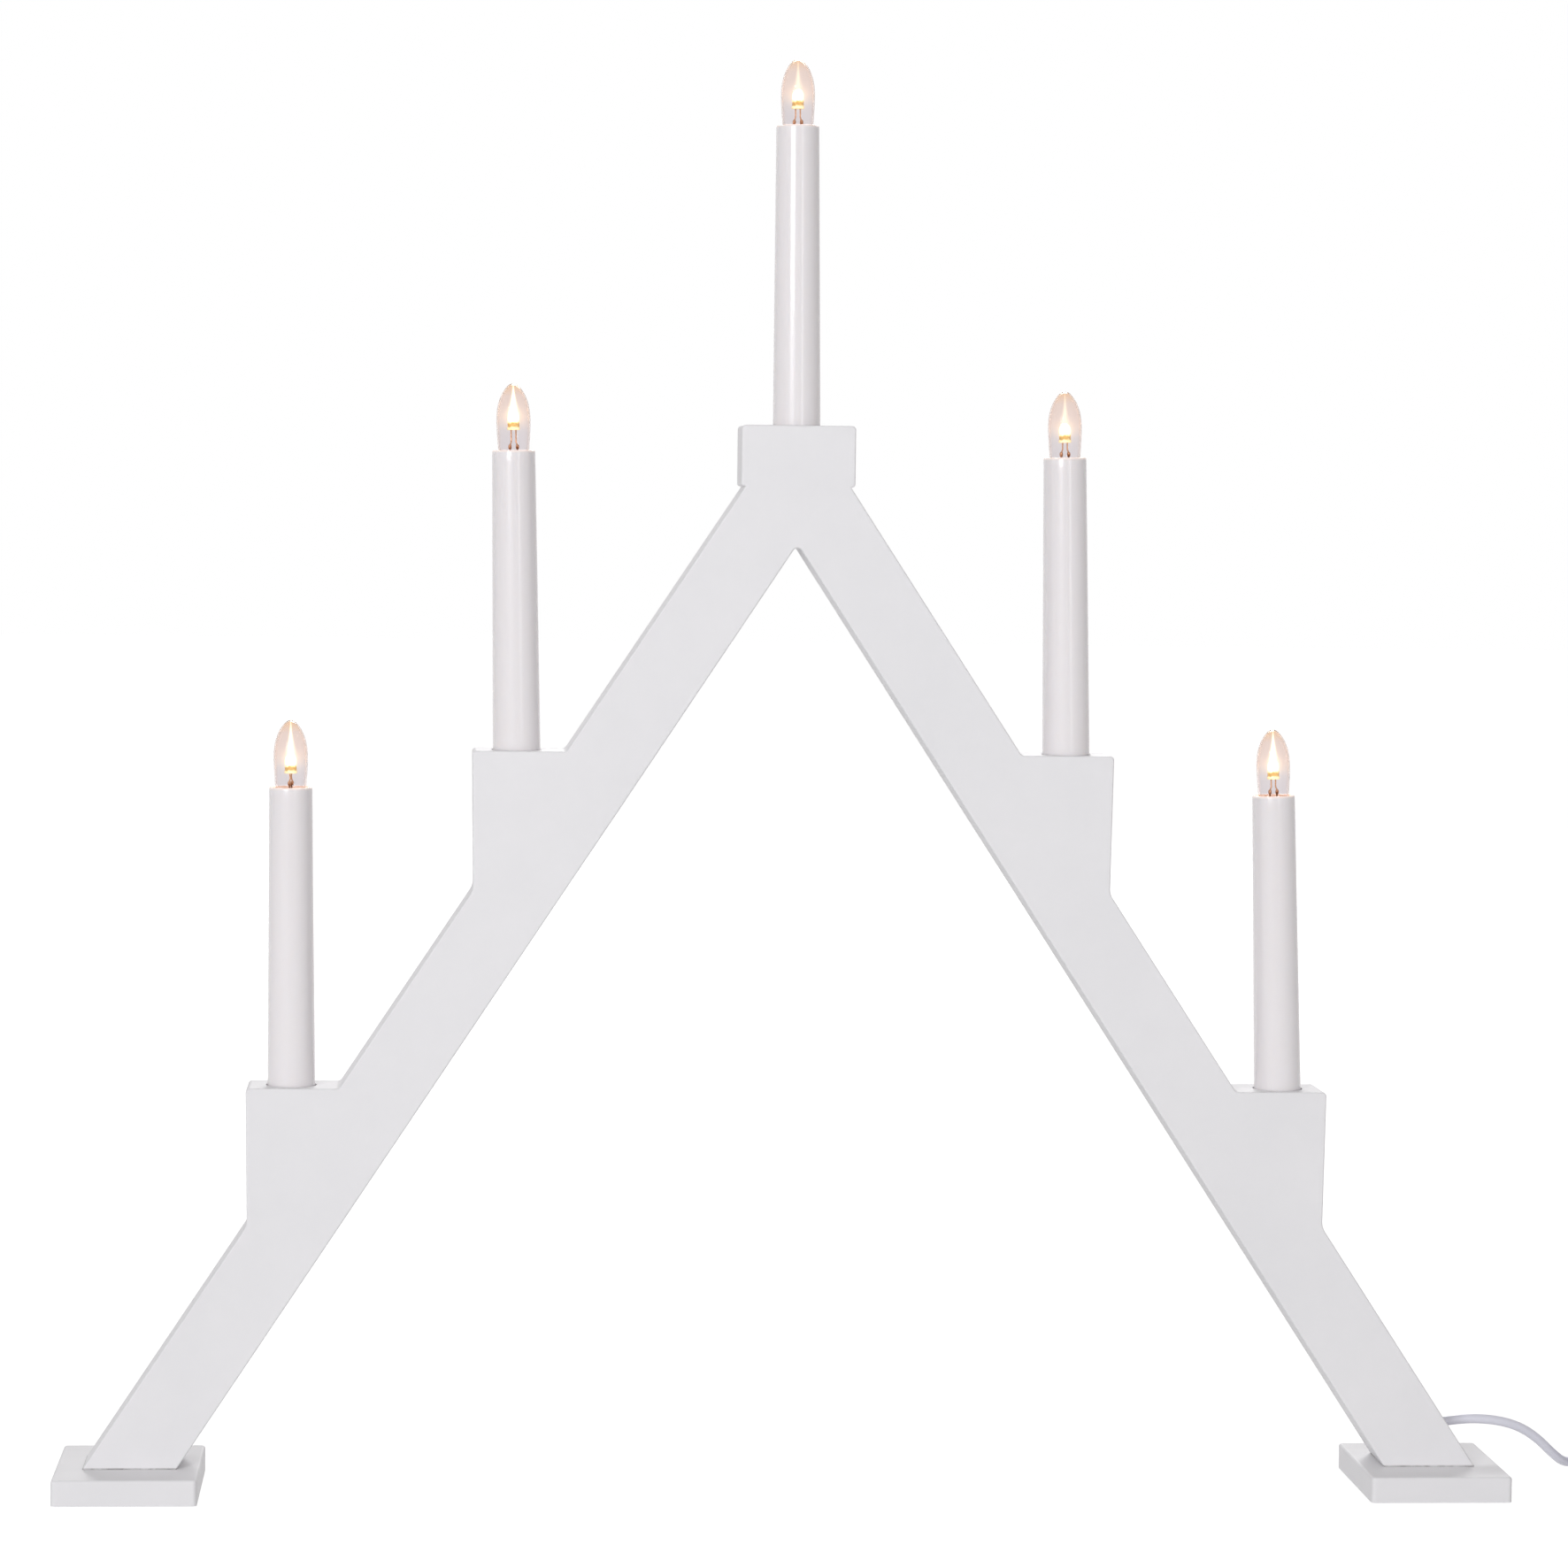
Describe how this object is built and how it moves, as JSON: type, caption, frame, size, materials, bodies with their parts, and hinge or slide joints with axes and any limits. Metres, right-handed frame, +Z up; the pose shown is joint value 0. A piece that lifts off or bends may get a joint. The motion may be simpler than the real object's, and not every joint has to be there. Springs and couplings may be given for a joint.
{
  "type": "electric candle arch",
  "caption": "White inverted-V electric candle arch with candle lights on stepped ledges, square foot plates and a mains lead.",
  "frame": {"origin": "on the standing surface, under the middle of the board, midway between the feet", "axes": "+X along the arch to the viewer's right, -Y towards the viewer, +Z up"},
  "size_m": [0.7632, 0.1027, 0.5614],
  "materials": {
    "white_wood": "white lacquer, satin",
    "sleeve_plastic": "white, glossy",
    "holder_plastic": "off-white moulding",
    "brass": "rolled",
    "clear_glass": "clear",
    "cap_metal": "nickelled",
    "black_insulator": "black with a grey solder tip",
    "led_resin": "clear resin, lit warm white",
    "zinc_steel": "zinc plated",
    "wire_sheath": "white insulation",
    "cord_sheath": "white, satin",
    "white_plastic": "white, satin",
    "pin_metal": "nickelled brass"
  },
  "bodies": {
    "arch": {"arch_board": "white_wood", "foot_plate_left": "white_wood", "foot_plate_right": "white_wood", "foot_screws": "zinc_steel", "link_wire_right_upper": "wire_sheath", "link_wire_right_lower": "wire_sheath", "link_wire_left_upper": "wire_sheath", "link_wire_left_lower": "wire_sheath", "feed_wire": "wire_sheath", "return_wire": "wire_sheath", "wire_staples": "zinc_steel", "cord_clamp": "white_plastic", "cord_clamp_screws": "zinc_steel", "cord_inlet": "cord_sheath", "power_cord": "cord_sheath", "cord_coil": "cord_sheath", "cord_tail": "cord_sheath", "plug_body": "white_plastic", "plug_pins": "pin_metal", "sleeve_left_outer": "sleeve_plastic", "lamp_holder_left_outer": "holder_plastic", "screw_shell_left_outer": "brass", "centre_contact_left_outer": "brass", "sleeve_left_middle": "sleeve_plastic", "lamp_holder_left_middle": "holder_plastic", "screw_shell_left_middle": "brass", "centre_contact_left_middle": "brass", "sleeve_top": "sleeve_plastic", "lamp_holder_top": "holder_plastic", "screw_shell_top": "brass", "centre_contact_top": "brass", "sleeve_right_middle": "sleeve_plastic", "lamp_holder_right_middle": "holder_plastic", "screw_shell_right_middle": "brass", "centre_contact_right_middle": "brass", "sleeve_right_outer": "sleeve_plastic", "lamp_holder_right_outer": "holder_plastic", "screw_shell_right_outer": "brass", "centre_contact_right_outer": "brass"},
    "bulb_lift_left_outer": {"bulb_base_left_outer": "black_insulator"},
    "bulb_left_outer": {"bulb_glass_left_outer": "clear_glass", "bulb_cap_left_outer": "cap_metal", "led_left_outer": "led_resin"},
    "bulb_lift_left_middle": {"bulb_base_left_middle": "black_insulator"},
    "bulb_left_middle": {"bulb_glass_left_middle": "clear_glass", "bulb_cap_left_middle": "cap_metal", "led_left_middle": "led_resin"},
    "bulb_lift_top": {"bulb_base_top": "black_insulator"},
    "bulb_top": {"bulb_glass_top": "clear_glass", "bulb_cap_top": "cap_metal", "led_top": "led_resin"},
    "bulb_lift_right_middle": {"bulb_base_right_middle": "black_insulator"},
    "bulb_right_middle": {"bulb_glass_right_middle": "clear_glass", "bulb_cap_right_middle": "cap_metal", "led_right_middle": "led_resin"},
    "bulb_lift_right_outer": {"bulb_base_right_outer": "black_insulator"},
    "bulb_right_outer": {"bulb_glass_right_outer": "clear_glass", "bulb_cap_right_outer": "cap_metal", "led_right_outer": "led_resin"}
  },
  "joints": [
    {"name": "bulb_lift_left_outer", "type": "slide", "parent": "arch", "child": "bulb_lift_left_outer", "axis": [-0.0087, 0, 1], "range_m": [0, 0.00889]},
    {"name": "bulb_turn_left_outer", "type": "hinge", "parent": "bulb_lift_left_outer", "child": "bulb_left_outer", "pos_m": [-0.19582, 0, 0.2758], "axis": [-0.0087, 0, 1], "range_deg": [0, 1764]},
    {"name": "bulb_lift_left_middle", "type": "slide", "parent": "arch", "child": "bulb_lift_left_middle", "axis": [-0.0192, 0, 0.9998], "range_m": [0, 0.00889]},
    {"name": "bulb_turn_left_middle", "type": "hinge", "parent": "bulb_lift_left_middle", "child": "bulb_left_middle", "pos_m": [-0.11034, 0, 0.40778], "axis": [-0.0192, 0, 0.9998], "range_deg": [0, 1764]},
    {"name": "bulb_lift_top", "type": "slide", "parent": "arch", "child": "bulb_lift_top", "axis": [-0.0087, 0, 1], "range_m": [0, 0.00889]},
    {"name": "bulb_turn_top", "type": "hinge", "parent": "bulb_lift_top", "child": "bulb_top", "pos_m": [-0.00102, 0, 0.5354], "axis": [-0.0087, 0, 1], "range_deg": [0, 1764]},
    {"name": "bulb_lift_right_middle", "type": "slide", "parent": "arch", "child": "bulb_lift_right_middle", "axis": [-0.0192, 0, 0.9998], "range_m": [0, 0.00889]},
    {"name": "bulb_turn_right_middle", "type": "hinge", "parent": "bulb_lift_right_middle", "child": "bulb_right_middle", "pos_m": [0.10586, 0, 0.40778], "axis": [-0.0192, 0, 0.9998], "range_deg": [0, 1764]},
    {"name": "bulb_lift_right_outer", "type": "slide", "parent": "arch", "child": "bulb_lift_right_outer", "axis": [-0.0314, 0, 0.9995], "range_m": [0, 0.00889]},
    {"name": "bulb_turn_right_outer", "type": "hinge", "parent": "bulb_lift_right_outer", "child": "bulb_right_outer", "pos_m": [0.19114, 0, 0.27574], "axis": [-0.0314, 0, 0.9995], "range_deg": [0, 1764]}
  ],
  "couplings": [
    {"joint": "bulb_turn_left_outer", "follows": "bulb_lift_left_outer", "rad_per_m": 3463.7},
    {"joint": "bulb_turn_left_middle", "follows": "bulb_lift_left_middle", "rad_per_m": 3463.7},
    {"joint": "bulb_turn_top", "follows": "bulb_lift_top", "rad_per_m": 3463.7},
    {"joint": "bulb_turn_right_middle", "follows": "bulb_lift_right_middle", "rad_per_m": 3463.7},
    {"joint": "bulb_turn_right_outer", "follows": "bulb_lift_right_outer", "rad_per_m": 3463.7}
  ]
}
